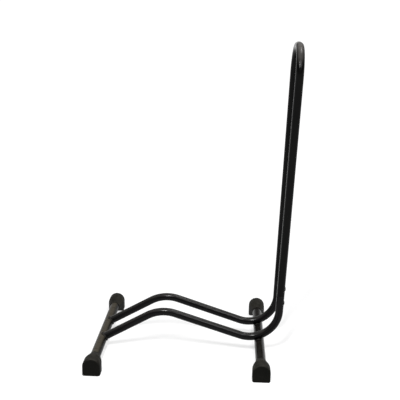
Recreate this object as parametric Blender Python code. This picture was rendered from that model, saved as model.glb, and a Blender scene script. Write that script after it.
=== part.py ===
"""Display stand: two cross bars on boot feet, two wave-bent side rails and a tall hoop.

Metres, +Z up. +X points to the rear, where the hoop stands, and +Y to the stand's left side.
The whole stand hangs on one empty, which puts the centre of its footprint at the world origin.
"""

import math

import bmesh
import bpy
from mathutils import Matrix, Vector

# Cross bars: round tubes that run across the stand.
BAR_DIAMETER = 0.0238
BAR_WALL = 0.0015
BAR_SPACING = 0.386
BAR_AXIS_HEIGHT = 0.0224
STAND_WIDTH = 0.4256

# Boot feet, pushed over the bar ends. Their round tops share the bar's axis.
BOOT_WIDTH = 0.0413
BOOT_LENGTH = 0.056
BOOT_BODY_LENGTH = 0.0265  # the full-width part, which stands on its flat sole
BOOT_COLLAR_WALL = 0.0014
BOOT_COLLAR_LENGTH = 0.0025
BOOT_LIP_ROUND = 0.0006
BOOT_SHOULDER_ROUND = 0.0035
BOOT_END_WALL = 0.0045
BOOT_END_ROUND = 0.0022
BOOT_SOLE_ROUND = 0.0026

# Side rails and hoop, bent from one size of round tube.
TUBE_DIAMETER = 0.019
TUBE_WALL = 0.0015
RAIL_SPREAD = 0.102  # rail centre to rail centre, from the front bar to the crest
RAIL_FRONT_OFFSET = 0.001  # how far above the front bar's axis the rail's axis passes
RAIL_CREST_BEHIND_BAR = 0.1434
RAIL_CREST_CORNER_HEIGHT = 0.1049
RAIL_CREST_BEND = 0.0864
RAIL_REAR_BEND = 0.0718

# The hoop's legs lean back and spread apart as they rise.
HOOP_HEIGHT = 0.7471
HOOP_FOOT_SPREAD = 0.1048  # leg centre to leg centre, at HOOP_FOOT_HEIGHT
HOOP_FOOT_HEIGHT = 0.120
HOOP_FOOT_BEHIND_BAR = 0.0447  # behind the rear bar, at HOOP_FOOT_HEIGHT
HOOP_LEAN = 0.0313  # back per unit of height
HOOP_SPLAY = 0.0478  # sideways per unit of height, each leg
HOOP_TOP_RUN = 0.0262  # straight run across the top, between its two bends

# The joint between hoop and rails: a spigot inside both tube ends, held by screws from the rear.
SPIGOT_LENGTH = 0.070
SPIGOT_WALL = 0.0025
SPIGOT_ABOVE_BEND = 0.0055
JOINT_SCREW_OFFSET = 0.018
SCREW_DIAMETER = 0.005
SCREW_TIP_LENGTH = 0.0015  # how far the screw stands through the spigot's wall
SCREW_TIP_CHAMFER = 0.0006
SCREW_HEAD_DIAMETER = 0.0095
SCREW_RIM_HEIGHT = 0.0004
SCREW_DOME_HEIGHT = 0.0011
SCREW_RECESS_ACROSS = 0.003
SCREW_RECESS_DEPTH = 0.0010

# Weld beads.
BEAD_SIZE = 0.003
SADDLE_BEAD = Vector((0.017, 0.0125, 0.0085))

GAP = 0.0003  # between neighbours that touch
FIT = 0.0002  # radial clearance of a tube over what it slides on
CUT_PAST = 0.004  # how far a cutter reaches past what it cuts

# Facets.
TUBE_SIDES = 24
BAR_SIDES = 32
BEAD_SIDES = 36
COPE_SIDES = 48
SADDLE_SEGMENTS = 24
SADDLE_RINGS = 12
SCREW_SIDES = 18
DOME_STEPS = 3
DOME_TURN = math.radians(60)
STEP_ANGLE = math.radians(9)
SHARP_ANGLE = math.radians(35)

# Points along each stretch of a boot's outline, and rings along each stretch of its length.
SOLE_ROUND_POINTS = 4
BOOT_SIDE_POINTS = 2
BOOT_TOP_POINTS = 17
SOLE_POINTS = 5
TAPER_STEPS = 3
END_STEPS = 3

TRACE_STEP = 0.002  # how closely a path is traced where its nearest point is looked for
HALVINGS = 40

BAR_RADIUS = BAR_DIAMETER / 2
TUBE_RADIUS = TUBE_DIAMETER / 2
BORE_RADIUS = TUBE_RADIUS - TUBE_WALL
SPIGOT_RADIUS = BORE_RADIUS - FIT
SPIGOT_BORE = SPIGOT_RADIUS - SPIGOT_WALL
FRONT_X = -BAR_SPACING  # the rear bar is at X = 0 until the stand is centred
SIDES = (("left", 1), ("right", -1))
LOOKS = {}


def clear_scene():
    for obj in list(bpy.data.objects):
        bpy.data.objects.remove(obj, do_unlink=True)


def material(name, colour, roughness, metallic=0.0):
    made = bpy.data.materials.new(name)
    made.use_nodes = True
    shader = made.node_tree.nodes["Principled BSDF"]
    shader.inputs["Base Color"].default_value = (*colour, 1)
    shader.inputs["Roughness"].default_value = roughness
    shader.inputs["Metallic"].default_value = metallic
    made.diffuse_color = (*colour, 1)
    return made


def paint_material():
    return material("satin black paint", (0.012, 0.012, 0.013), 0.34)


def rubber_material():
    return material("black rubber", (0.022, 0.022, 0.023), 0.72)


def weld_material():
    return material("painted weld", (0.014, 0.014, 0.015), 0.5)


def steel_material():
    return material("dark zinc steel", (0.05, 0.05, 0.052), 0.42, 0.8)


def add(name, bm, look, parent):
    """Turns a bmesh into a smooth-shaded object under the given parent."""
    bmesh.ops.recalc_face_normals(bm, faces=bm.faces)
    mesh = bpy.data.meshes.new(name)
    bm.to_mesh(mesh)
    bm.free()
    mesh.shade_smooth()
    mesh.set_sharp_from_angle(angle=SHARP_ANGLE)
    mesh.materials.append(LOOKS[look])
    obj = bpy.data.objects.new(name, mesh)
    bpy.context.scene.collection.objects.link(obj)
    obj.parent = parent
    return obj


def cutter(name, bm, parent):
    obj = add(name, bm, "steel", parent)
    obj.hide_render = True
    obj.display_type = "WIRE"
    return obj


def cut(obj, tool, operation="DIFFERENCE"):
    modifier = obj.modifiers.new(f"cut by {tool.name}", "BOOLEAN")
    modifier.operation = operation
    modifier.object = tool
    modifier.solver = "EXACT"


def ring(bm, centre, across, up, radius, sides):
    made = []
    for i in range(sides):
        angle = math.tau * i / sides
        made.append(bm.verts.new(centre + radius * (across * math.cos(angle) + up * math.sin(angle))))
    return made


def band(bm, first, second):
    """Quads between two rings of as many points."""
    count = len(first)
    for i in range(count):
        j = (i + 1) % count
        bm.faces.new((first[i], first[j], second[j], second[i]))


def skin(bm, rings):
    """Side faces through a row of rings, and a flat cap on each end."""
    for low, high in zip(rings, rings[1:]):
        band(bm, low, high)
    bm.faces.new(rings[0][::-1])
    bm.faces.new(rings[-1])


def frames_along(path):
    """At each point of a path, the two directions square to it, carried on without twist."""
    first_run = path[1] - path[0]
    runs_across = abs(first_run.y) > abs(first_run.x) + abs(first_run.z)
    across = Vector((1, 0, 0)) if runs_across else Vector((0, 1, 0))
    frames = []
    for i, point in enumerate(path):
        along = (path[min(i + 1, len(path) - 1)] - path[max(i - 1, 0)]).normalized()
        across = (across - along * across.dot(along)).normalized()
        frames.append((point, across, along.cross(across)))
    return frames


def rod(path, radius, sides=TUBE_SIDES):
    """A solid round bar swept along a path."""
    bm = bmesh.new()
    skin(bm, [ring(bm, point, across, up, radius, sides) for point, across, up in frames_along(path)])
    return bm


def tube(path, radius, bore, sides=TUBE_SIDES):
    """A round tube swept along a path, open at both ends."""
    bm = bmesh.new()
    frames = frames_along(path)
    outer = [ring(bm, point, across, up, radius, sides) for point, across, up in frames]
    inner = [ring(bm, point, across, up, bore, sides) for point, across, up in frames]
    for skin_rings in (outer, inner):
        for low, high in zip(skin_rings, skin_rings[1:]):
            band(bm, low, high)
    for end in (0, -1):
        band(bm, outer[end], inner[end])
    return bm


def turned(profile, place, sides=SCREW_SIDES):
    """A closed turned solid from (radius, height) pairs, on the Z axis of the given matrix."""
    bm = bmesh.new()
    across, up = Vector((1, 0, 0)), Vector((0, 1, 0))
    skin(bm, [ring(bm, Vector((0, 0, z)), across, up, radius, sides) for radius, z in profile])
    bmesh.ops.transform(bm, matrix=place, verts=bm.verts)
    return bm


def aimed(origin, direction):
    """A matrix whose Z axis runs along the direction."""
    turn = Vector((0, 0, 1)).rotation_difference(direction.normalized())
    return Matrix.Translation(origin) @ turn.to_matrix().to_4x4()


def rounded_path(corners, radii):
    """Points along straight runs joined by arcs: the centreline of a bent tube."""
    path = [corners[0]]
    for i, radius in enumerate(radii, start=1):
        back = (corners[i - 1] - corners[i]).normalized()
        ahead = (corners[i + 1] - corners[i]).normalized()
        half = back.angle(ahead) / 2
        turn = math.pi - 2 * half
        start = corners[i] + back * radius / math.tan(half)
        centre = corners[i] + (back + ahead).normalized() * radius / math.sin(half)
        outward = (start - centre).normalized()
        steps = max(2, round(turn / STEP_ANGLE))
        for k in range(steps + 1):
            angle = turn * k / steps
            path.append(centre + radius * (outward * math.cos(angle) - back * math.sin(angle)))
    path.append(corners[-1])
    return path


def dense(path):
    """The same path with its points close together."""
    points = []
    for here, there in zip(path, path[1:]):
        count = max(1, math.ceil((there - here).length / TRACE_STEP))
        points += [here.lerp(there, k / count) for k in range(count)]
    return points + [path[-1]]


def mirrored(points, side):
    return [Vector((p.x, p.y * side, p.z)) for p in points]


def arc(centre, radius, first, last, count):
    """Points (x, z) along an arc between two bearings in degrees, both ends among them."""
    points = []
    for k in range(count):
        angle = math.radians(first + (last - first) * k / (count - 1))
        points.append((centre[0] + radius * math.cos(angle), centre[1] + radius * math.sin(angle)))
    return points


def between(first, second, count):
    """Points that split the run between two points, without its ends."""
    step_x = (second[0] - first[0]) / (count + 1)
    step_z = (second[1] - first[1]) / (count + 1)
    return [(first[0] + step_x * k, first[1] + step_z * k) for k in range(1, count + 1)]


def boot_outline(inset=0.0):
    """Across the bar: a flat sole, upright sides and a round top, drawn in by the inset."""
    half = BOOT_WIDTH / 2 - inset
    round_off = max(BOOT_SOLE_ROUND - inset, GAP)
    corner_x = half - round_off
    corner_z = inset + round_off - BAR_AXIS_HEIGHT
    right = arc((corner_x, corner_z), round_off, -90, 0, SOLE_ROUND_POINTS)
    top = arc((0, 0), half, 0, 180, BOOT_TOP_POINTS)
    left = arc((-corner_x, corner_z), round_off, 180, 270, SOLE_ROUND_POINTS)
    right_side = between(right[-1], top[0], BOOT_SIDE_POINTS)
    left_side = between(top[-1], left[0], BOOT_SIDE_POINTS)
    sole = between(left[-1], right[0], SOLE_POINTS)
    return right + right_side + top + left_side + left + sole


def collar_outline(radius):
    """A circle round the bar, with its points at the bearings of the boot's outline."""
    bearings = [math.atan2(z, x) for x, z in boot_outline()]
    return [(radius * math.cos(angle), radius * math.sin(angle)) for angle in bearings]


def shoulder_section(y):
    """The boot's outline in its straight taper from collar to body, rounded where it meets the body."""
    length = BOOT_LENGTH - BOOT_BODY_LENGTH - BOOT_COLLAR_LENGTH
    share = (y - BOOT_COLLAR_LENGTH) / length
    soft = BOOT_SHOULDER_ROUND / length
    if share > 1 - soft:
        share = 1 - (1 + soft - min(share, 1 + soft)) ** 2 / (4 * soft)
    collar = collar_outline(BAR_RADIUS + BOOT_COLLAR_WALL)
    body = boot_outline()
    return [(c[0] + (b[0] - c[0]) * share, c[1] + (b[1] - c[1]) * share) for c, b in zip(collar, body)]


def boot_mesh():
    """A boot along +Y, from its collar to its rounded outer end, with the bar's axis as its own."""
    collar_radius = BAR_RADIUS + BOOT_COLLAR_WALL
    sections = [
        (0.0, collar_outline(collar_radius - BOOT_LIP_ROUND)),
        (BOOT_LIP_ROUND, collar_outline(collar_radius)),
        (BOOT_COLLAR_LENGTH, collar_outline(collar_radius)),
    ]
    body_start = BOOT_LENGTH - BOOT_BODY_LENGTH
    taper_end = body_start - BOOT_SHOULDER_ROUND
    for k in range(1, TAPER_STEPS + 1):
        y = BOOT_COLLAR_LENGTH + (taper_end - BOOT_COLLAR_LENGTH) * k / TAPER_STEPS
        sections.append((y, shoulder_section(y)))
    for y in (body_start, body_start + BOOT_SHOULDER_ROUND):
        sections.append((y, shoulder_section(y)))
    for k in range(END_STEPS + 1):
        angle = math.radians(90) * k / END_STEPS
        y = BOOT_LENGTH - BOOT_END_ROUND * (1 - math.sin(angle))
        sections.append((y, boot_outline(BOOT_END_ROUND * (1 - math.cos(angle)))))
    bm = bmesh.new()
    skin(bm, [[bm.verts.new((x, y, z)) for x, z in outline] for y, outline in sections])
    return bm


def bar_ends(reach=0.0):
    """The ends of a cross bar's axis, each moved outwards by the reach."""
    half = STAND_WIDTH / 2 - BOOT_END_WALL - GAP + reach
    return [Vector((0, side * half, 0)) for side in (-1, 1)]


def cross_bar(name, x):
    bar = add(name, tube(bar_ends(), BAR_RADIUS, BAR_RADIUS - BAR_WALL, BAR_SIDES), "paint", stand)
    bar.location = (x, 0, BAR_AXIS_HEIGHT)


def boot_foot(name, x, side):
    boot = add(name, boot_mesh(), "rubber", stand)
    boot.location = (x, side * (STAND_WIDTH / 2 - BOOT_LENGTH), BAR_AXIS_HEIGHT)
    boot.rotation_euler = (0, 0, 0 if side > 0 else math.pi)
    socket_ends = [Vector((0, -CUT_PAST, 0)), Vector((0, BOOT_LENGTH - BOOT_END_WALL, 0))]
    cut(boot, cutter(f"{name}_socket", rod(socket_ends, BAR_RADIUS + FIT, BAR_SIDES), boot))


def hoop_leg_point(height):
    """The left leg's centreline at a height."""
    rise = height - HOOP_FOOT_HEIGHT
    x = HOOP_FOOT_BEHIND_BAR + HOOP_LEAN * rise
    return Vector((x, HOOP_FOOT_SPREAD / 2 + HOOP_SPLAY * rise, height))


def crest_corner():
    return Vector((FRONT_X + RAIL_CREST_BEHIND_BAR, RAIL_SPREAD / 2, RAIL_CREST_CORNER_HEIGHT))


def front_end():
    """Where the left rail's axis starts, beside the front bar's axis."""
    bar_axis = Vector((FRONT_X, RAIL_SPREAD / 2, BAR_AXIS_HEIGHT))
    along = (crest_corner() - bar_axis).normalized()
    return bar_axis + Vector((0, -1, 0)).cross(along) * RAIL_FRONT_OFFSET


def rear_bend(corner_height):
    """The rail from its crest corner round the rear bend, to the bend's end on the leg's line."""
    corner = hoop_leg_point(corner_height)
    leg_top = hoop_leg_point(HOOP_HEIGHT)
    return rounded_path((crest_corner(), corner, leg_top), [RAIL_REAR_BEND])[:-1]


def height_over_bar(corner_height):
    """How far the rail's trough hangs above its rest on the rear bar; below zero, it sinks in."""
    rest = BAR_RADIUS + TUBE_RADIUS + GAP
    over_bar = [p for p in dense(rear_bend(corner_height)) if abs(p.x) < rest]
    return min(p.z - BAR_AXIS_HEIGHT - math.sqrt(rest**2 - p.x**2) for p in over_bar)


def rear_corner_height():
    """The height of the rail's rear corner at which its trough rests on the rear bar."""
    low, high = -RAIL_CREST_CORNER_HEIGHT, RAIL_CREST_CORNER_HEIGHT
    for _ in range(HALVINGS):
        middle = (low + high) / 2
        if height_over_bar(middle) > 0:
            high = middle
        else:
            low = middle
    return high


def rail_centreline():
    """The left rail, from the front bar over its crest and trough to the joint under the hoop."""
    rear_corner = hoop_leg_point(CORNER_HEIGHT)
    joint_end = hoop_leg_point(JOINT_HEIGHT - GAP / 2)
    corners = [front_end(), crest_corner(), rear_corner, joint_end]
    return rounded_path(corners, [RAIL_CREST_BEND, RAIL_REAR_BEND])


def hoop_centreline():
    foot = hoop_leg_point(JOINT_HEIGHT + GAP / 2)
    corner = hoop_leg_point(HOOP_HEIGHT - TUBE_RADIUS)
    half_turn = (foot - corner).angle(Vector((0, -1, 0))) / 2
    bend = (corner.y - HOOP_TOP_RUN / 2) * math.tan(half_turn)
    return rounded_path([foot, corner, *mirrored([corner, foot], -1)], [bend, bend])


def side_rail(name, side):
    """A bent tube whose front end is coped to sit on the front bar."""
    rail = add(name, tube(mirrored(RAIL_PATH, side), TUBE_RADIUS, BORE_RADIUS), "paint", stand)
    cut(rail, cutter(f"{name}_cope", bar_mould(FRONT_X, GAP), stand))
    return rail


def bar_mould(x, growth):
    """A cross bar's outer shape, grown by a gap or a bead's size."""
    centre = Vector((x, 0, BAR_AXIS_HEIGHT))
    return rod([centre + end for end in bar_ends()], BAR_RADIUS + growth, COPE_SIDES)


def joint_spigot(name, centre, up):
    half = up * SPIGOT_LENGTH / 2
    return add(name, tube([centre - half, centre + half], SPIGOT_RADIUS, SPIGOT_BORE), "steel", stand)


def joint_screw(name, base, rearward, drilled):
    """A low-headed screw along the rearward direction, and its holes in the given tubes."""
    tip = SPIGOT_BORE - SCREW_TIP_LENGTH
    face = TUBE_RADIUS + GAP
    shank = SCREW_DIAMETER / 2
    head = SCREW_HEAD_DIAMETER / 2
    rim = face + SCREW_RIM_HEIGHT
    crown = rim + SCREW_DOME_HEIGHT
    place = aimed(base, rearward)
    profile = [
        (shank - SCREW_TIP_CHAMFER, tip),
        (shank, tip + SCREW_TIP_CHAMFER),
        (shank, face),
        (head, face),
    ]
    for k in range(DOME_STEPS + 1):
        angle = DOME_TURN * k / DOME_STEPS
        rise = math.sin(angle) / math.sin(DOME_TURN)
        profile.append((head * math.cos(angle), rim + SCREW_DOME_HEIGHT * rise))
    screw = add(name, turned(profile, place), "steel", stand)
    recess_radius = SCREW_RECESS_ACROSS / math.sqrt(3)  # a hexagon's corners, from its flats
    recess = [(recess_radius, crown - SCREW_RECESS_DEPTH), (recess_radius, crown + CUT_PAST)]
    cut(screw, cutter(f"{name}_recess", turned(recess, place, 6), stand))
    hole_ends = [base + rearward * (tip - CUT_PAST), base + rearward * (face + CUT_PAST)]
    hole = cutter(f"{name}_hole", rod(hole_ends, shank + GAP, SCREW_SIDES), stand)
    for drilled_piece in drilled:
        cut(drilled_piece, hole)


def front_weld(name, side):
    """A bead round the rail's coped end, on the front bar."""
    end, crest = mirrored([front_end(), crest_corner()], side)
    along = (crest - end).normalized()
    reach = along * (BAR_DIAMETER + TUBE_DIAMETER)
    bead = add(name, rod([end, end + reach], TUBE_RADIUS + BEAD_SIZE, BEAD_SIDES), "weld", stand)
    cut(bead, cutter(f"{name}_reach", bar_mould(FRONT_X, BEAD_SIZE), stand), "INTERSECT")
    past_seam = [end - reach, end + reach + along * CUT_PAST]
    cut(bead, cutter(f"{name}_rail", rod(past_seam, TUBE_RADIUS + GAP, BEAD_SIDES), stand))
    cut(bead, cutter(f"{name}_bar", bar_mould(FRONT_X, GAP), stand))


def rear_weld(name, side):
    """A bead in the saddle where the rail's trough rests on the rear bar."""
    bar_axis = Vector((0, 0, BAR_AXIS_HEIGHT))
    path = mirrored(RAIL_PATH, side)
    touch = min(dense(path), key=lambda p: math.hypot(p.x, p.z - BAR_AXIS_HEIGHT))
    outward = Vector((touch.x, 0, touch.z - BAR_AXIS_HEIGHT)).normalized()
    seat = bar_axis + outward * BAR_RADIUS + Vector((0, touch.y, 0))
    bm = bmesh.new()
    bmesh.ops.create_uvsphere(bm, u_segments=SADDLE_SEGMENTS, v_segments=SADDLE_RINGS, radius=1)
    half_size = Matrix.Diagonal((*SADDLE_BEAD / 2, 1))
    bmesh.ops.transform(bm, matrix=Matrix.Translation(seat) @ half_size, verts=bm.verts)
    bead = add(name, bm, "weld", stand)
    cut(bead, cutter(f"{name}_rail", rod(path, TUBE_RADIUS + GAP), stand))
    cut(bead, cutter(f"{name}_bar", bar_mould(0, GAP), stand))


clear_scene()
LOOKS["paint"] = paint_material()
LOOKS["rubber"] = rubber_material()
LOOKS["weld"] = weld_material()
LOOKS["steel"] = steel_material()

stand = bpy.data.objects.new("stand_origin", None)
bpy.context.scene.collection.objects.link(stand)

CORNER_HEIGHT = rear_corner_height()
BEND_END_HEIGHT = rear_bend(CORNER_HEIGHT)[-1].z
JOINT_HEIGHT = BEND_END_HEIGHT + SPIGOT_ABOVE_BEND + SPIGOT_LENGTH / 2
RAIL_PATH = rail_centreline()
HOOP_PATH = hoop_centreline()

for end_name, bar_x in (("front", FRONT_X), ("rear", 0.0)):
    cross_bar(f"{end_name}_cross_bar", bar_x)
    for side_name, side in SIDES:
        boot_foot(f"foot_{end_name}_{side_name}", bar_x, side)

hoop = add("wheel_hoop", tube(HOOP_PATH, TUBE_RADIUS, BORE_RADIUS), "paint", stand)
leg_line = (HOOP_PATH[1] - HOOP_PATH[0]).normalized()
for side_name, side in SIDES:
    rail = side_rail(f"{side_name}_side_rail", side)
    up, centre = mirrored([leg_line, hoop_leg_point(JOINT_HEIGHT)], side)
    spigot = joint_spigot(f"{side_name}_joint_spigot", centre, up)
    rearward = (Vector((1, 0, 0)) - up * up.x).normalized()
    for level_name, level, outer in (("lower", -1, rail), ("upper", 1, hoop)):
        base = centre + up * level * JOINT_SCREW_OFFSET
        joint_screw(f"{side_name}_joint_screw_{level_name}", base, rearward, (outer, spigot))
    front_weld(f"{side_name}_front_weld", side)
    rear_weld(f"{side_name}_rear_weld", side)

# The stand's footprint is centred on the world origin, and its soles stand at Z = 0.
front_edge = FRONT_X - BOOT_WIDTH / 2
rear_edge = max(p.x for p in HOOP_PATH) + TUBE_RADIUS / math.hypot(1, HOOP_LEAN)
stand.location = (-(front_edge + rear_edge) / 2, 0, 0)
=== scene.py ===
"""Looks of the display stand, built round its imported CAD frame.

Metres, in the row's frame: +Z up, +X to the rear, where the hoop stands, and +Y to the left.
"""

import math

import bmesh
import bpy
from mathutils import Matrix, Vector


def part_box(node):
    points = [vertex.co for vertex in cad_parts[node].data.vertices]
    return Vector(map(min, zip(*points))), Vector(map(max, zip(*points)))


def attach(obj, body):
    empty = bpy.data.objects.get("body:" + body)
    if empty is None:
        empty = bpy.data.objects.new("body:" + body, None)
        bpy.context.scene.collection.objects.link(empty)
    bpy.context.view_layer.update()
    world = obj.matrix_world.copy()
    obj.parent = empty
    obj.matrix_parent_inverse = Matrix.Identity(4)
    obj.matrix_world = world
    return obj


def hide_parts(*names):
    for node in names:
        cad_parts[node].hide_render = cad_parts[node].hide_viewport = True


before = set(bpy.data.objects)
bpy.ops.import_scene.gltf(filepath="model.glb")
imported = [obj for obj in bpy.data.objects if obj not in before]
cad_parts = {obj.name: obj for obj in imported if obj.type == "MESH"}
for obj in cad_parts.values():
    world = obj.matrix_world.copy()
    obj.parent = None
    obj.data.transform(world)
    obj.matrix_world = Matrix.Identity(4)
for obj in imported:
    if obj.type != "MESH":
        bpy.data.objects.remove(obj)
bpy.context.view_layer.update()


def centre_of(node):
    low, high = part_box(node)
    return (low + high) / 2


def size_of(node):
    low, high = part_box(node)
    return high - low


BODY = "root"
SIDES = (("left", 1), ("right", -1))

# What the frame gives.
FRONT_X = centre_of("front_cross_bar").x
REAR_X = centre_of("rear_cross_bar").x
BAR_HEIGHT = centre_of("rear_cross_bar").z  # of the bars' axes
BAR_RADIUS = size_of("rear_cross_bar").z / 2
BAR_HALF_LENGTH = size_of("rear_cross_bar").y / 2
BOOT_WIDTH = size_of("foot_rear_left").x
BOOT_LENGTH = size_of("foot_rear_left").y
BOOT_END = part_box("foot_rear_left")[1].y
HOOP_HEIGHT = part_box("wheel_hoop")[1].z
SPIGOT_MIDDLE = centre_of("left_joint_spigot")

# The tubes' bends, as in the CAD model.
TUBE_RADIUS = 0.0095
TUBE_WALL = 0.0015
BAR_WALL = 0.0015
RAIL_SPREAD = 0.102
RAIL_FRONT_OFFSET = 0.001
RAIL_CREST_BEHIND_BAR = 0.1434
RAIL_CREST_CORNER_HEIGHT = 0.1049
RAIL_CREST_BEND = 0.0864
RAIL_REAR_BEND = 0.0718
HOOP_FOOT_SPREAD = 0.1048
HOOP_FOOT_HEIGHT = 0.120
HOOP_FOOT_BEHIND_BAR = 0.0447
HOOP_LEAN = 0.0313
HOOP_SPLAY = 0.0478
HOOP_TOP_RUN = 0.0262
SPIGOT_HALF_LENGTH = 0.035
SPIGOT_ABOVE_BEND = 0.0055
JOINT_GAP = 0.0003
COPE_GAP = 0.0001  # between a rail's coped end and the front bar

BOOT_BODY_LENGTH = 0.0265
BOOT_COLLAR_LENGTH = 0.0025
BOOT_COLLAR_RADIUS = BAR_RADIUS + 0.0014
BOOT_SOCKET_RADIUS = BAR_RADIUS + 0.0002
BOOT_END_WALL = 0.0045
BOOT_LIP_ROUND = 0.0006
BOOT_SHOULDER_ROUND = 0.0035
BOOT_END_ROUND = 0.0045
BOOT_SOLE_END_ROUND = 0.0010
BOOT_SOLE_ROUND = 0.0026
BOOT_LEAST_ROUND = 0.0003

SCREW_OFFSET = 0.018  # from the joint, up and down the leg
SCREW_SHANK_RADIUS = 0.0025
THREAD_PITCH = 0.0008
THREAD_DEPTH = 0.0004
SCREW_SEAT = 0.0001  # how far the head's underside is under the tube's surface
SCREW_SUNK = 0.00014  # how far the rim's seat is under the tube's rearmost line
SCREW_HEAD_RADIUS = 0.00475
SCREW_RIM_HEIGHT = 0.0004
SCREW_RIM_ROUND = 0.00024
SCREW_DOME_HEIGHT = 0.0011
SCREW_DOME_TURN = math.radians(62)
RECESS_HALF_WIDTH = 0.0015
RECESS_MOUTH_HALF_WIDTH = 0.00168
RECESS_MOUTH_DEPTH = 0.00018
RECESS_DEPTH = 0.0010
RECESS_POINT_DEPTH = 0.0012
RECESS_POINT_RADIUS = 0.000525

RIM_ROUND = 0.0003  # at a tube's cut end
BEAD_RADIUS = 0.0021
BEAD_LIFT = 0.12  # of its radius, off the rail and off the bar
REAR_BEAD_RADIUS = BEAD_RADIUS * 0.9
REAR_BEAD_DROP = BEAD_RADIUS * 1.1  # of the bar's and the rail's round, where the bead runs
RIPPLE = 0.11  # of the bead's radius
RIPPLE_LENGTH = 0.0021

# Fineness of the meshes.
TUBE_SIDES = 64
BEAD_SIDES = 20
SCREW_SIDES = 60
SWEEP_SIDES = 96
STEP_ANGLE = math.radians(2.5)
SHARP_ANGLE = math.radians(40)
ROUND_STEPS = 5
BAR_STEPS = 24
SWEEP_STEPS = 12
DOME_STEPS = 6
BOOT_ROUND_STEPS = 10
BOOT_TAPER_STEPS = 22
BOOT_TOP_POINTS = 41
BOOT_SIDE_POINTS = 6
BOOT_EDGE_POINTS = 7
BOOT_SOLE_POINTS = 13
FRONT_SEAM_POINTS = 240
REAR_SEAM_POINTS = 160
HALVINGS = 40  # in the search for the rear corner's height

# Camera, fitted to the photograph.
CAMERA_PLACE = Vector((REAR_X - 0.0897, -1.8400, 0.8199))
CAMERA_PITCH = 0.2418
CAMERA_YAW = -0.0347
CAMERA_ROLL = 0.0228
SENSOR_WIDTH = 36.0
FOCAL_PIXELS = 786.9
IMAGE_WIDTH = 400
CENTRE_SHIFT_X = -0.55  # pixels
CENTRE_SHIFT_Y = 0.57

FLOOR_GREY = 0.40
FLOOR_ROUGHNESS = 0.9
NEAR_GLOW = 0.64  # what is seen on top of the lit floor, so that it clears white
FAR_GLOW = 1.02
NEAR_FLOOR = 0.5
FAR_FLOOR = 2.2
FLOOR_RINGS = (0.3, 1.0, 3.0)  # radii on the flat floor
SWEEP_RADIUS = 12.0
SWEEP_BEND = 1.5
SWEEP_HEIGHT = 4.5
LOW_WALL = 1.8  # the wall's glow fades above this height
HIGH_WALL = 3.2
WALL_TOP_GLOW = 0.15
WORLD_LIGHT = 0.14

# Each lamp's name, place, target, width and height, and power in watts.
LAMPS = (
    ("key", (-0.2, -1.4, 1.95), (0, 0, 0.1), (0.26, 0.6), 51),
    ("side_box", (0.9, -1.4, 1.9), (0, 0, 0.1), (0.5, 0.8), 17),
    ("high_box", (0.65, 0.3, 2.5), (0.35, 0, 0.6), (0.5, 0.8), 22),
    ("back", (0.3, 1.8, 2.0), (0, 0, 0.2), (1.4, 1.0), 2),
)

# The enamel's noise: its scales, in waves for each metre, and the ranges of its values in use.
CLOUD_SCALE = 16.0
PATCH_SCALE = 55.0
PEEL_SCALE = 260.0
SPECK_SCALE = 900.0
FINE_SCALE = 1400.0
NOISE_RANGE = (0.3, 0.7)
CLOUD_RANGE = (0.35, 0.7)
SPECK_RANGE = (0.66, 0.78)
SPECK_STRENGTH = 0.35
PEEL_HEIGHT = 0.0004
FINE_HEIGHT = 0.0002
FINE_STRENGTH = 0.08


def make_camera():
    forward = Vector(
        (
            math.sin(CAMERA_YAW) * math.cos(CAMERA_PITCH),
            math.cos(CAMERA_YAW) * math.cos(CAMERA_PITCH),
            -math.sin(CAMERA_PITCH),
        )
    )
    level = Vector((math.cos(CAMERA_YAW), -math.sin(CAMERA_YAW), 0))
    up = level.cross(forward)
    across = math.cos(CAMERA_ROLL) * level + math.sin(CAMERA_ROLL) * up
    upward = -math.sin(CAMERA_ROLL) * level + math.cos(CAMERA_ROLL) * up
    data = bpy.data.cameras.new("camera")
    data.sensor_width = SENSOR_WIDTH
    data.lens = FOCAL_PIXELS * SENSOR_WIDTH / IMAGE_WIDTH
    data.shift_x = CENTRE_SHIFT_X / IMAGE_WIDTH
    data.shift_y = CENTRE_SHIFT_Y / IMAGE_WIDTH
    camera = bpy.data.objects.new("camera", data)
    camera.matrix_world = Matrix.Translation(CAMERA_PLACE) @ Matrix(
        (
            (across.x, upward.x, -forward.x, 0),
            (across.y, upward.y, -forward.y, 0),
            (across.z, upward.z, -forward.z, 0),
            (0, 0, 0, 1),
        )
    )
    bpy.context.scene.collection.objects.link(camera)
    bpy.context.scene.camera = camera


def new_material(name):
    made = bpy.data.materials.new(name)
    made.use_nodes = True
    tree = made.node_tree
    return made, tree, tree.nodes["Principled BSDF"]


def noise(tree, scale, detail, roughness=0.55):
    place = tree.nodes.new("ShaderNodeTexCoord").outputs["Object"]
    made = tree.nodes.new("ShaderNodeTexNoise")
    made.inputs["Scale"].default_value = scale
    made.inputs["Detail"].default_value = detail
    made.inputs["Roughness"].default_value = roughness
    tree.links.new(place, made.inputs["Vector"])
    return made.outputs["Fac"]


def span(tree, source, given, result=(0.0, 1.0)):
    """Maps a value from the given range to the result's, and holds it at the range's ends."""
    made = tree.nodes.new("ShaderNodeMapRange")
    made.inputs["From Min"].default_value = given[0]
    made.inputs["From Max"].default_value = given[1]
    made.inputs["To Min"].default_value = result[0]
    made.inputs["To Max"].default_value = result[1]
    tree.links.new(source, made.inputs["Value"])
    return made.outputs["Result"]


def combined(tree, operation, first, second):
    made = tree.nodes.new("ShaderNodeMath")
    made.operation = operation
    tree.links.new(first, made.inputs[0])
    tree.links.new(second, made.inputs[1])
    return made.outputs[0]


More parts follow.
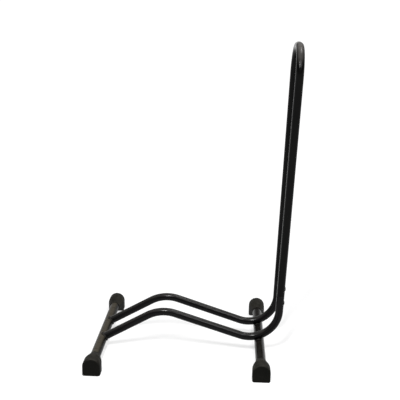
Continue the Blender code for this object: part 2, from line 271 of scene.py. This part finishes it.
def blend_colours(tree, share, first, second):
    """A colour between two, each given as a colour or as a socket."""
    made = tree.nodes.new("ShaderNodeMix")
    made.data_type = "RGBA"
    sockets = [s for s in made.inputs if s.type == "RGBA"]
    tree.links.new(share, made.inputs["Factor"])
    for socket, colour in zip(sockets, (first, second)):
        if isinstance(colour, tuple):
            socket.default_value = (*colour, 1)
        else:
            tree.links.new(colour, socket)
    return next(s for s in made.outputs if s.type == "RGBA")


def bumps(tree, shader, layers):
    """Stacks bump layers, each (height source, strength, distance in metres)."""
    normal = None
    for source, strength, distance in layers:
        made = tree.nodes.new("ShaderNodeBump")
        made.inputs["Strength"].default_value = strength
        made.inputs["Distance"].default_value = distance
        tree.links.new(source, made.inputs["Height"])
        if normal:
            tree.links.new(normal, made.inputs["Normal"])
        normal = made.outputs["Normal"]
    tree.links.new(normal, shader.inputs["Normal"])


def facing_up(tree, slope):
    """0 to 1 as the surface turns to face up, over a range of its normal's Z."""
    geometry = tree.nodes.new("ShaderNodeNewGeometry")
    parts = tree.nodes.new("ShaderNodeSeparateXYZ")
    tree.links.new(geometry.outputs["Normal"], parts.inputs["Vector"])
    return span(tree, parts.outputs["Z"], slope)


def coated_steel(name, coat_colours, specular, rough, peel, dust_and_sheen_colour, dust_and_sheen_amounts, dust_and_sheen_slope):
    """Black enamel over steel: clouded colour, orange peel, fine specks, and a lighter colour on what
    faces up that is dust, and on the rails and hoop also a painted sheen.
    """
    made, tree, shader = new_material(name)
    dark, light = coat_colours
    cloud = noise(tree, CLOUD_SCALE, detail=6.0)
    patches = noise(tree, PATCH_SCALE, detail=5.0, roughness=0.6)
    coat = blend_colours(tree, span(tree, cloud, CLOUD_RANGE), dark, light)
    # What faces up turns lighter: dust, and on the rails and hoop also a painted highlight.
    patchy_dust_and_sheen = span(tree, patches, NOISE_RANGE, dust_and_sheen_amounts)
    dust_and_sheen = combined(tree, "MULTIPLY", facing_up(tree, dust_and_sheen_slope), patchy_dust_and_sheen)
    specks = span(tree, noise(tree, SPECK_SCALE, detail=2.0), SPECK_RANGE, (0.0, SPECK_STRENGTH))
    coat = blend_colours(tree, specks, coat, light)
    tree.links.new(blend_colours(tree, dust_and_sheen, coat, dust_and_sheen_colour), shader.inputs["Base Color"])
    tree.links.new(span(tree, patches, NOISE_RANGE, rough), shader.inputs["Roughness"])
    shader.inputs["Specular IOR Level"].default_value = specular
    fine = noise(tree, FINE_SCALE, detail=2.0)
    coarse = noise(tree, PEEL_SCALE, detail=2.0)
    bumps(tree, shader, [(coarse, peel, PEEL_HEIGHT), (fine, FINE_STRENGTH, FINE_HEIGHT)])
    return made


def paint_material():
    """The rails' coat; its grey on what faces up is partly dust and partly a painted highlight."""
    return coated_steel(
        name="satin_black_enamel",
        coat_colours=((0.0012, 0.0012, 0.0013), (0.0028, 0.0027, 0.0027)),
        specular=0.10,
        rough=(0.16, 0.21),
        peel=0.06,
        # Grey on what faces up: partly dust, partly a painted highlight.
        dust_and_sheen_colour=(0.058, 0.056, 0.054),
        dust_and_sheen_amounts=(0.3, 0.5),
        dust_and_sheen_slope=(0.35, 0.85),
    )


def hoop_paint_material():
    """The hoop's coat, with more dust and a painted highlight on its top bend."""
    return coated_steel(
        name="hoop_black_enamel",
        coat_colours=((0.0010, 0.0010, 0.0010), (0.0024, 0.0023, 0.0022)),
        specular=0.065,
        rough=(0.18, 0.24),
        peel=0.06,
        dust_and_sheen_colour=(0.112, 0.106, 0.100),
        dust_and_sheen_amounts=(0.35, 0.6),
        dust_and_sheen_slope=(0.3, 0.85),
    )


def painted_shade_paint_material():
    """The rear bar's coat: a darker copy with hardly any dust, as painted shade."""
    return coated_steel(
        name="painted_shade_black_enamel",
        coat_colours=((0.0012, 0.0012, 0.0012), (0.0030, 0.0029, 0.0027)),
        specular=0.05,
        rough=(0.18, 0.24),
        peel=0.06,
        dust_and_sheen_colour=(0.030, 0.027, 0.022),
        dust_and_sheen_amounts=(0.15, 0.35),
        dust_and_sheen_slope=(0.4, 0.9),
    )


def dusty_paint_material():
    """The front bar's coat, with settled dust."""
    return coated_steel(
        name="dusty_black_enamel",
        coat_colours=((0.0020, 0.0020, 0.0020), (0.0045, 0.0043, 0.0040)),
        specular=0.02,
        rough=(0.24, 0.34),
        peel=0.10,
        dust_and_sheen_colour=(0.092, 0.081, 0.062),
        dust_and_sheen_amounts=(0.48, 0.65),
        dust_and_sheen_slope=(0.6, 0.95),
    )


def weld_material():
    return coated_steel(
        name="painted_weld",
        coat_colours=((0.0030, 0.0030, 0.0031), (0.0080, 0.0077, 0.0073)),
        specular=0.09,
        rough=(0.30, 0.46),
        peel=0.30,
        dust_and_sheen_colour=(0.060, 0.053, 0.044),
        dust_and_sheen_amounts=(0.15, 0.4),
        dust_and_sheen_slope=(0.3, 0.9),
    )


def rubber_material():
    made, tree, shader = new_material("moulded_black_rubber")
    dark, light = (0.0028, 0.0028, 0.0021), (0.0058, 0.0057, 0.0046)
    dust_and_sheen_colour = (0.033, 0.031, 0.026)
    cloud = noise(tree, scale=26.0, detail=6.0)
    grain = noise(tree, scale=1100.0, detail=3.0)
    base = blend_colours(tree, span(tree, cloud, given=(0.3, 0.72)), dark, light)
    # Lighter on what faces up: partly dust, partly a painted sheen.
    patchy_dust_and_sheen = span(tree, noise(tree, scale=70.0, detail=5.0), NOISE_RANGE, result=(0.2, 0.75))
    dust_and_sheen = combined(tree, "MULTIPLY", facing_up(tree, slope=(0.1, 0.4)), patchy_dust_and_sheen)
    tree.links.new(blend_colours(tree, dust_and_sheen, base, dust_and_sheen_colour), shader.inputs["Base Color"])
    rough = span(tree, grain, NOISE_RANGE, result=(0.52, 0.74))
    tree.links.new(rough, shader.inputs["Roughness"])
    shader.inputs["Specular IOR Level"].default_value = 0.06
    bumps(tree, shader, [(cloud, 0.10, 0.001), (grain, 0.22, 0.0003)])
    return made


def steel_material():
    """The screws' and spigots' steel, blackened, and worn lighter in spots."""
    made, tree, shader = new_material("blackened_steel")
    dark, light, bare = (0.018, 0.018, 0.019), (0.05, 0.049, 0.047), (0.12, 0.118, 0.112)
    cloud = noise(tree, scale=120.0, detail=5.0)
    grain = noise(tree, scale=420.0, detail=4.0)
    base = blend_colours(tree, span(tree, cloud, NOISE_RANGE), dark, light)
    worn = span(tree, grain, given=(0.6, 0.75), result=(0.0, 0.5))
    tree.links.new(blend_colours(tree, worn, base, bare), shader.inputs["Base Color"])
    rough = span(tree, cloud, NOISE_RANGE, result=(0.34, 0.5))
    tree.links.new(rough, shader.inputs["Roughness"])
    shader.inputs["Metallic"].default_value = 0.8
    bumps(tree, shader, [(grain, 0.10, 0.0002)])
    return made


def seen_directly(tree):
    """1 for camera, glossy and transmission rays, and 0 for the rays that light the object."""
    rays = tree.nodes.new("ShaderNodeLightPath").outputs
    total = rays["Is Camera Ray"]
    for name in ("Is Glossy Ray", "Is Transmission Ray"):
        total = combined(tree, "MAXIMUM", total, rays[name])
    return total


def sweep_material():
    """Matt and pale. Where it is seen directly it glows up to white, and the wall fades above."""
    made, tree, shader = new_material("pale_sweep")
    shader.inputs["Base Color"].default_value = (FLOOR_GREY, FLOOR_GREY, FLOOR_GREY, 1)
    shader.inputs["Roughness"].default_value = FLOOR_ROUGHNESS
    shader.inputs["Specular IOR Level"].default_value = 0.0
    shader.inputs["Emission Color"].default_value = (1, 1, 1, 1)
    place = tree.nodes.new("ShaderNodeNewGeometry").outputs["Position"]
    distance = tree.nodes.new("ShaderNodeVectorMath")
    distance.operation = "LENGTH"
    tree.links.new(place, distance.inputs[0])
    glow = span(tree, distance.outputs["Value"], (NEAR_FLOOR, FAR_FLOOR), (NEAR_GLOW, FAR_GLOW))
    parts = tree.nodes.new("ShaderNodeSeparateXYZ")
    tree.links.new(place, parts.inputs["Vector"])
    fade = span(tree, parts.outputs["Z"], (LOW_WALL, HIGH_WALL), (1.0, WALL_TOP_GLOW))
    glow = combined(tree, "MULTIPLY", glow, fade)
    shown = combined(tree, "MULTIPLY", seen_directly(tree), glow)
    tree.links.new(shown, shader.inputs["Emission Strength"])
    return made


def make_stage():
    """A round studio sweep: a pale floor that curves up into a low wall, out of the object's way."""
    profile = [(radius, 0.0) for radius in FLOOR_RINGS]
    for k in range(SWEEP_STEPS + 1):
        angle = math.radians(90) * k / SWEEP_STEPS
        out = SWEEP_RADIUS - SWEEP_BEND * (1 - math.sin(angle))
        profile.append((out, SWEEP_BEND * (1 - math.cos(angle))))
    profile.append((SWEEP_RADIUS, SWEEP_HEIGHT))
    bm = bmesh.new()
    across = Vector((1, 0, 0))
    up = Vector((0, 1, 0))
    rings = []
    for radius, height in profile:
        rings.append(ring(bm, Vector((0, 0, height)), across, up, radius, SWEEP_SIDES))
    join_rings(bm, rings)
    bm.faces.new(rings[0])
    bmesh.ops.recalc_face_normals(bm, faces=bm.faces)
    # The first face is on the flat floor, and has to face up.
    if next(iter(bm.faces)).normal.z < 0:
        bmesh.ops.reverse_faces(bm, faces=bm.faces)
    mesh = bpy.data.meshes.new("sweep")
    bm.to_mesh(mesh)
    bm.free()
    mesh.shade_smooth()
    mesh.materials.append(sweep_material())
    sweep = bpy.data.objects.new("sweep", mesh)
    bpy.context.scene.collection.objects.link(sweep)


def area_light(name, place, target, size, power):
    data = bpy.data.lights.new(name, "AREA")
    data.shape = "RECTANGLE"
    data.size, data.size_y = size
    data.energy = power
    lamp = bpy.data.objects.new(name, data)
    lamp.location = place
    lamp.rotation_euler = (Vector(target) - Vector(place)).to_track_quat("-Z", "Y").to_euler()
    bpy.context.scene.collection.objects.link(lamp)


def make_light():
    world = bpy.data.worlds.new("studio")
    world.use_nodes = True
    bpy.context.scene.world = world
    background = world.node_tree.nodes["Background"]
    background.inputs["Color"].default_value = (1, 1, 1, 1)
    background.inputs["Strength"].default_value = WORLD_LIGHT
    for lamp in LAMPS:
        area_light(*lamp)


def ring(bm, centre, across, up, radius, sides):
    made = []
    for i in range(sides):
        angle = math.tau * i / sides
        made.append(bm.verts.new(centre + radius * (across * math.cos(angle) + up * math.sin(angle))))
    return made


def join_rings(bm, rings, closed=False):
    pairs = list(zip(rings, rings[1:]))
    if closed:
        pairs.append((rings[-1], rings[0]))
    for low, high in pairs:
        count = len(low)
        for i in range(count):
            j = (i + 1) % count
            bm.faces.new((low[i], low[j], high[j], high[i]))


def frames_along(path):
    """At each point of a path, its direction and two directions square to it, without twist."""
    first_run = path[1] - path[0]
    runs_across = abs(first_run.y) > abs(first_run.x) + abs(first_run.z)
    across = Vector((1, 0, 0)) if runs_across else Vector((0, 1, 0))
    frames = []
    for i, point in enumerate(path):
        along = (path[min(i + 1, len(path) - 1)] - path[max(i - 1, 0)]).normalized()
        across = (across - along * across.dot(along)).normalized()
        frames.append((point, along, across, along.cross(across)))
    return frames


def rim(radius, bore):
    """(step in from the tube's end, radius) from the bore out round the rim."""
    steps = [(0.0, bore + RIM_ROUND / 2), (0.0, radius - RIM_ROUND)]
    for k in range(1, ROUND_STEPS + 1):
        angle = math.radians(90) * k / ROUND_STEPS
        step = RIM_ROUND * (1 - math.cos(angle))
        steps.append((step, radius - RIM_ROUND * (1 - math.sin(angle))))
    return steps


def tube(path, radius, bore, cope=None):
    """A bent tube with an open bore and softened rims; the cope moves the first end's points."""
    bm = bmesh.new()
    frames = frames_along(path)
    rings = []
    point, along, across, up = frames[0]
    for step, size in rim(radius, bore):
        rings.append(ring(bm, point + along * step, across, up, size, TUBE_SIDES))
    start_count = len(rings)
    for point, along, across, up in frames[1:-1]:
        rings.append(ring(bm, point, across, up, radius, TUBE_SIDES))
    point, along, across, up = frames[-1]
    for step, size in reversed(rim(radius, bore)):
        rings.append(ring(bm, point - along * step, across, up, size, TUBE_SIDES))
    for point, along, across, up in reversed(frames):
        rings.append(ring(bm, point, across, up, bore, TUBE_SIDES))
    join_rings(bm, rings, closed=True)
    if cope:
        for step_ring in [*rings[:start_count], rings[-1]]:
            for vertex in step_ring:
                vertex.co = cope(vertex.co)
    return bm


def piece(name, bm, look, node):
    """A smooth-shaded piece that stands for a CAD node and takes its finish from a slot."""
    bmesh.ops.recalc_face_normals(bm, faces=bm.faces)
    mesh = bpy.data.meshes.new(name)
    bm.to_mesh(mesh)
    bm.free()
    mesh.shade_smooth()
    mesh.set_sharp_from_angle(angle=SHARP_ANGLE)
    mesh.materials.append(look)
    made = bpy.data.objects.new(name, mesh)
    bpy.context.scene.collection.objects.link(made)
    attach(made, BODY)
    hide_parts(node)


def rounded_path(corners, radii):
    """Points along straight runs joined by arcs: the centreline of a bent tube."""
    path = [corners[0]]
    for i, radius in enumerate(radii, start=1):
        back = (corners[i - 1] - corners[i]).normalized()
        ahead = (corners[i + 1] - corners[i]).normalized()
        half = back.angle(ahead) / 2
        turn = math.pi - 2 * half
        start = corners[i] + back * radius / math.tan(half)
        centre = corners[i] + (back + ahead).normalized() * radius / math.sin(half)
        outward = (start - centre).normalized()
        steps = round(turn / STEP_ANGLE)
        for k in range(steps + 1):
            angle = turn * k / steps
            path.append(centre + radius * (outward * math.cos(angle) - back * math.sin(angle)))
    path.append(corners[-1])
    return path


def mirrored(points, side):
    return [Vector((p.x, p.y * side, p.z)) for p in points]


def hoop_leg_point(height):
    """The left leg's centreline at a height."""
    rise = height - HOOP_FOOT_HEIGHT
    x = REAR_X + HOOP_FOOT_BEHIND_BAR + HOOP_LEAN * rise
    return Vector((x, HOOP_FOOT_SPREAD / 2 + HOOP_SPLAY * rise, height))


def crest_corner():
    return Vector((FRONT_X + RAIL_CREST_BEHIND_BAR, RAIL_SPREAD / 2, RAIL_CREST_CORNER_HEIGHT))


def front_end():
    """Where the left rail's axis starts, beside the front bar's axis."""
    bar_axis = Vector((FRONT_X, RAIL_SPREAD / 2, BAR_HEIGHT))
    along = (crest_corner() - bar_axis).normalized()
    return bar_axis + Vector((0, -1, 0)).cross(along) * RAIL_FRONT_OFFSET


def rear_bend(corner_height):
    corners = (crest_corner(), hoop_leg_point(corner_height), hoop_leg_point(HOOP_HEIGHT))
    return rounded_path(corners, [RAIL_REAR_BEND])[:-1]


def rear_corner_height():
    """The height of the rail's rear corner that puts its bend's end under the joint."""
    bend_end = SPIGOT_MIDDLE.z - SPIGOT_HALF_LENGTH - SPIGOT_ABOVE_BEND
    low, high = -RAIL_CREST_CORNER_HEIGHT, RAIL_CREST_CORNER_HEIGHT
    for _ in range(HALVINGS):
        middle = (low + high) / 2
        if rear_bend(middle)[-1].z > bend_end:
            high = middle
        else:
            low = middle
    return high


def rail_centreline():
    rear_corner = hoop_leg_point(rear_corner_height())
    joint_end = hoop_leg_point(SPIGOT_MIDDLE.z - JOINT_GAP / 2)
    corners = [front_end(), crest_corner(), rear_corner, joint_end]
    return rounded_path(corners, [RAIL_CREST_BEND, RAIL_REAR_BEND])


def hoop_centreline():
    foot = hoop_leg_point(SPIGOT_MIDDLE.z + JOINT_GAP / 2)
    corner = hoop_leg_point(HOOP_HEIGHT - TUBE_RADIUS)
    half_turn = (foot - corner).angle(Vector((0, -1, 0))) / 2
    bend = (corner.y - HOOP_TOP_RUN / 2) * math.tan(half_turn)
    return rounded_path([foot, corner, *mirrored([corner, foot], -1)], [bend, bend])


def onto_bar(point, along, radius):
    """Where a line from the point, in a direction, leaves a cylinder round the front bar's axis."""
    flat = Vector((point.x - FRONT_X, point.z - BAR_HEIGHT))
    run = Vector((along.x, along.z))
    a = run.dot(run)
    b = flat.dot(run)
    c = flat.dot(flat) - radius**2
    return point + along * (math.sqrt(max(b * b - a * c, 0)) - b) / a


def rail_tube(side_name, side):
    path = mirrored(RAIL_PATH, side)
    along = (path[1] - path[0]).normalized()
    path[0] = path[0] + along * BAR_RADIUS

    def cope(point):
        return onto_bar(point, along, BAR_RADIUS + COPE_GAP)

    bm = tube(path, TUBE_RADIUS, TUBE_RADIUS - TUBE_WALL, cope)
    piece(f"{side_name}_rail_tube", bm, LOOKS["paint"], f"{side_name}_side_rail")


def bar_tube(name, x, look):
    ends = [Vector((x, side * BAR_HALF_LENGTH, BAR_HEIGHT)) for side in (-1, 1)]
    path = [ends[0].lerp(ends[1], k / BAR_STEPS) for k in range(BAR_STEPS + 1)]
    piece(f"{name}_tube", tube(path, BAR_RADIUS, BAR_RADIUS - BAR_WALL), look, name)


def outline_arc(centre, radius, first, last, count):
    """Points on an arc from the first to the last bearing, in degrees."""
    points = []
    for k in range(count):
        angle = math.radians(first + (last - first) * k / (count - 1))
        points.append((centre[0] + radius * math.cos(angle), centre[1] + radius * math.sin(angle)))
    return points


def between(first, second, count):
    step_x = (second[0] - first[0]) / (count + 1)
    step_z = (second[1] - first[1]) / (count + 1)
    return [(first[0] + step_x * k, first[1] + step_z * k) for k in range(1, count + 1)]


def boot_outline(inset=0.0, lift=0.0):
    """Across the bar: a round top and upright sides, drawn in by the inset, and a lifted flat sole."""
    half = BOOT_WIDTH / 2 - inset
    round_off = max(BOOT_SOLE_ROUND - lift, BOOT_LEAST_ROUND)
    corner_x = half - round_off
    corner_z = lift + round_off - BAR_HEIGHT
    right = outline_arc((corner_x, corner_z), round_off, -90, 0, BOOT_EDGE_POINTS)
    top = outline_arc((0, 0), half, 0, 180, BOOT_TOP_POINTS)
    left = outline_arc((-corner_x, corner_z), round_off, 180, 270, BOOT_EDGE_POINTS)
    right_side = between(right[-1], top[0], BOOT_SIDE_POINTS)
    left_side = between(top[-1], left[0], BOOT_SIDE_POINTS)
    sole = between(left[-1], right[0], BOOT_SOLE_POINTS)
    return right + right_side + top + left_side + left + sole


def round_outline(radius):
    """A circle round the bar, with its points at the bearings of the boot's outline."""
    bearings = [math.atan2(z, x) for x, z in boot_outline()]
    return [(radius * math.cos(angle), radius * math.sin(angle)) for angle in bearings]


def shoulder_section(y):
    """The straight taper from collar to body, rounded where it meets the body."""
    length = BOOT_LENGTH - BOOT_BODY_LENGTH - BOOT_COLLAR_LENGTH
    share = (y - BOOT_COLLAR_LENGTH) / length
    soft = BOOT_SHOULDER_ROUND / length
    if share > 1 - soft:
        share = 1 - (1 + soft - min(share, 1 + soft)) ** 2 / (4 * soft)
    pairs = zip(round_outline(BOOT_COLLAR_RADIUS), boot_outline())
    return [(c[0] + (b[0] - c[0]) * share, c[1] + (b[1] - c[1]) * share) for c, b in pairs]


def boot_sections():
    """(place along the bar, outline) from the closed socket out round the lip to the rounded end."""
    sections = [
        (BOOT_LENGTH - BOOT_END_WALL, round_outline(BOOT_SOCKET_RADIUS)),
        (BOOT_LIP_ROUND, round_outline(BOOT_SOCKET_RADIUS)),
    ]
    lip = (BOOT_COLLAR_RADIUS - BOOT_SOCKET_RADIUS) / 2
    for k in range(1, BOOT_ROUND_STEPS):
        angle = math.radians(180) * k / BOOT_ROUND_STEPS
        radius = BOOT_SOCKET_RADIUS + lip * (1 - math.cos(angle))
        sections.append((BOOT_LIP_ROUND * (1 - math.sin(angle)), round_outline(radius)))
    sections.append((BOOT_LIP_ROUND, round_outline(BOOT_COLLAR_RADIUS)))
    taper_length = BOOT_LENGTH - BOOT_BODY_LENGTH + BOOT_SHOULDER_ROUND - BOOT_COLLAR_LENGTH
    for k in range(BOOT_TAPER_STEPS + 1):
        y = BOOT_COLLAR_LENGTH + taper_length * k / BOOT_TAPER_STEPS
        sections.append((y, shoulder_section(y)))
    for k in range(BOOT_ROUND_STEPS + 1):
        angle = math.radians(90) * k / BOOT_ROUND_STEPS
        short = BOOT_END_ROUND * (1 - math.sin(angle))
        reach = max(0.0, 1 - short / BOOT_SOLE_END_ROUND)
        lift = BOOT_SOLE_END_ROUND * (1 - math.sqrt(1 - reach**2))
        outline = boot_outline(BOOT_END_ROUND * (1 - math.cos(angle)), lift)
        sections.append((BOOT_LENGTH - short, outline))
    return sections


def boot(name, x, side):
    """A moulded boot: a closed socket inside, and outside a collar, a taper and a rounded body."""
    bm = bmesh.new()
    rings = []
    for y, outline in boot_sections():
        rings.append([bm.verts.new((x_here, y, z_here)) for x_here, z_here in outline])
    join_rings(bm, rings)
    bm.faces.new(rings[0])
    bm.faces.new(rings[-1])
    place = Matrix.Translation((x, side * (BOOT_END - BOOT_LENGTH), BAR_HEIGHT))
    turn = Matrix.Rotation(0 if side > 0 else math.pi, 4, "Z")
    bmesh.ops.transform(bm, matrix=place @ turn, verts=bm.verts)
    piece(f"{name}_boot", bm, LOOKS["rubber"], name)


def bead(path, radius):
    """A weld bead round a closed seam, with the ripples that the pool leaves."""
    bm = bmesh.new()
    count = len(path)
    length = sum((path[i] - path[i - 1]).length for i in range(count))
    ripples = round(length / RIPPLE_LENGTH)
    middle = sum(path, Vector()) / count
    rings = []
    for i, point in enumerate(path):
        along = (path[(i + 1) % count] - path[i - 1]).normalized()
        across = (point - middle).normalized()
        across = (across - along * across.dot(along)).normalized()
        phase = ripples * i / count % 1
        size = radius * (1 - RIPPLE * (2 * phase - 1) ** 2)
        rings.append(ring(bm, point, across, along.cross(across), size, BEAD_SIDES))
    join_rings(bm, rings, closed=True)
    return bm


def front_weld(side_name, side):
    """A bead round the rail's coped end on the front bar."""
    end, crest = mirrored([front_end(), crest_corner()], side)
    along = (crest - end).normalized()
    across = Vector((0, 1, 0))
    up = along.cross(across)
    seam = []
    for k in range(FRONT_SEAM_POINTS):
        angle = math.tau * k / FRONT_SEAM_POINTS
        outward = across * math.cos(angle) + up * math.sin(angle)
        point = onto_bar(end + outward * TUBE_RADIUS, along, BAR_RADIUS)
        off_bar = Vector((point.x - FRONT_X, 0, point.z - BAR_HEIGHT)).normalized()
        seam.append(point + (outward + off_bar) * BEAD_RADIUS * BEAD_LIFT)
    bm = bead(seam, BEAD_RADIUS)
    piece(f"{side_name}_front_bead", bm, LOOKS["weld"], f"{side_name}_front_weld")


def rear_weld(side_name, side):
    """A bead round the spot where the rail's trough rests on the rear bar."""
    path = mirrored(RAIL_PATH, side)
    spot = min(path, key=lambda p: math.hypot(p.x - REAR_X, p.z - BAR_HEIGHT))
    outward = Vector((spot.x - REAR_X, 0, spot.z - BAR_HEIGHT)).normalized()
    seat = Vector((REAR_X, spot.y, BAR_HEIGHT)) + outward * BAR_RADIUS
    along = Vector((outward.z, 0, -outward.x))
    seam = []
    for k in range(REAR_SEAM_POINTS):
        angle = math.tau * k / REAR_SEAM_POINTS
        along_rail = math.sqrt(2 * BAR_RADIUS * REAR_BEAD_DROP) * math.cos(angle)
        along_bar = math.sqrt(2 * TUBE_RADIUS * REAR_BEAD_DROP) * math.sin(angle)
        bar_drop = BAR_RADIUS - math.sqrt(BAR_RADIUS**2 - along_rail**2)
        rail_rise = TUBE_RADIUS - math.sqrt(TUBE_RADIUS**2 - along_bar**2)
        bend_rise = along_rail**2 / (2 * RAIL_REAR_BEND)
        height = (rail_rise + bend_rise - bar_drop) / 2
        seam.append(seat + along * along_rail + Vector((0, along_bar, 0)) + outward * height)
    bm = bead(seam, REAR_BEAD_RADIUS)
    piece(f"{side_name}_rear_bead", bm, LOOKS["weld"], f"{side_name}_rear_weld")


def circle(radius):
    """A round outline, as its radius at a bearing."""
    return lambda angle: radius


def hexagon(half_width):
    """A hexagonal outline, as its radius at a bearing."""
    sixth = math.radians(60)
    return lambda angle: half_width / math.cos((angle % sixth) - sixth / 2)


def screw_ring(bm, height, radius_at, on_tube=False):
    """A ring round the screw's axis; on the tube, its height counts from the tube's round surface."""
    made = []
    for i in range(SCREW_SIDES):
        angle = math.tau * i / SCREW_SIDES
        radius = radius_at(angle)
        across = radius * math.sin(angle)
        surface = math.sqrt(TUBE_RADIUS**2 - across**2) if on_tube else 0.0
        made.append(bm.verts.new((radius * math.cos(angle), across, surface + height)))
    return made


def screw_levels(tip):
    """What screw_ring needs for each ring: up the thread, out over the head and into the recess."""
    head = SCREW_HEAD_RADIUS
    shank = SCREW_SHANK_RADIUS
    root = shank - THREAD_DEPTH
    bore = TUBE_RADIUS - TUBE_WALL
    levels = [(tip, circle(root - THREAD_DEPTH))]
    turns = int((bore - tip) / THREAD_PITCH)
    for k in range(1, 2 * turns + 1):
        levels.append((tip + k * THREAD_PITCH / 2, circle(root if k % 2 else shank)))
    levels.append((bore, circle(shank)))
    levels.append((-SCREW_SEAT, circle(shank), True))
    levels.append((-SCREW_SEAT, circle(head - SCREW_RIM_ROUND), True))
    levels.append((SCREW_RIM_ROUND - SCREW_SEAT, circle(head), True))
    rim_top = TUBE_RADIUS + SCREW_RIM_HEIGHT - SCREW_SUNK
    for k in range(DOME_STEPS + 1):
        angle = SCREW_DOME_TURN * k / DOME_STEPS
        rise = SCREW_DOME_HEIGHT * math.sin(angle) / math.sin(SCREW_DOME_TURN)
        levels.append((rim_top + rise, circle(head * math.cos(angle))))
    crown = rim_top + SCREW_DOME_HEIGHT
    levels.append((crown, hexagon(RECESS_MOUTH_HALF_WIDTH)))
    levels.append((crown - RECESS_MOUTH_DEPTH, hexagon(RECESS_HALF_WIDTH)))
    levels.append((crown - RECESS_DEPTH, hexagon(RECESS_HALF_WIDTH)))
    levels.append((crown - RECESS_POINT_DEPTH, circle(RECESS_POINT_RADIUS)))
    return levels


def joint_screw(name, base, rearward):
    """A threaded button-head screw with a hexagon socket, its head fitted to the tube's round back."""
    tip = (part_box(name)[0].x - base.x) / rearward.x
    bm = bmesh.new()
    rings = [screw_ring(bm, *level) for level in screw_levels(tip)]
    join_rings(bm, rings)
    bm.faces.new(rings[0])
    bm.faces.new(rings[-1])
    turn = Vector((0, 0, 1)).rotation_difference(rearward).to_matrix().to_4x4()
    bmesh.ops.transform(bm, matrix=Matrix.Translation(base) @ turn, verts=bm.verts)
    piece(f"{name}_threaded", bm, LOOKS["steel"], name)


def joint_screws(side_name, side):
    leg = (HOOP_PATH[1] - HOOP_PATH[0]).normalized()
    up, centre = mirrored([leg, hoop_leg_point(SPIGOT_MIDDLE.z)], side)
    rearward = (Vector((1, 0, 0)) - up * up.x).normalized()
    for level_name, way in (("lower", -1), ("upper", 1)):
        base = centre + up * way * SCREW_OFFSET
        joint_screw(f"{side_name}_joint_screw_{level_name}", base, rearward)


make_camera()
make_stage()
make_light()
LOOKS = {
    "paint": paint_material(),
    "dusty": dusty_paint_material(),
    "painted_shade": painted_shade_paint_material(),
    "hoop": hoop_paint_material(),
    "rubber": rubber_material(),
    "weld": weld_material(),
    "steel": steel_material(),
}
RAIL_PATH = rail_centreline()
HOOP_PATH = hoop_centreline()

bar_tube("front_cross_bar", FRONT_X, LOOKS["dusty"])
# The rear bar takes the darker copy of the coat: painted shade.
bar_tube("rear_cross_bar", REAR_X, LOOKS["painted_shade"])
for end_name, bar_x in (("front", FRONT_X), ("rear", REAR_X)):
    for side_name, side in SIDES:
        boot(f"foot_{end_name}_{side_name}", bar_x, side)
hoop = tube(HOOP_PATH, TUBE_RADIUS, TUBE_RADIUS - TUBE_WALL)
piece("hoop_tube", hoop, LOOKS["hoop"], "wheel_hoop")
for side_name, side in SIDES:
    rail_tube(side_name, side)
    front_weld(side_name, side)
    rear_weld(side_name, side)
    joint_screws(side_name, side)
    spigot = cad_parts[f"{side_name}_joint_spigot"]
    spigot.data.materials.clear()
    spigot.data.materials.append(LOOKS["steel"])

bpy.context.scene.view_settings.view_transform = "Standard"
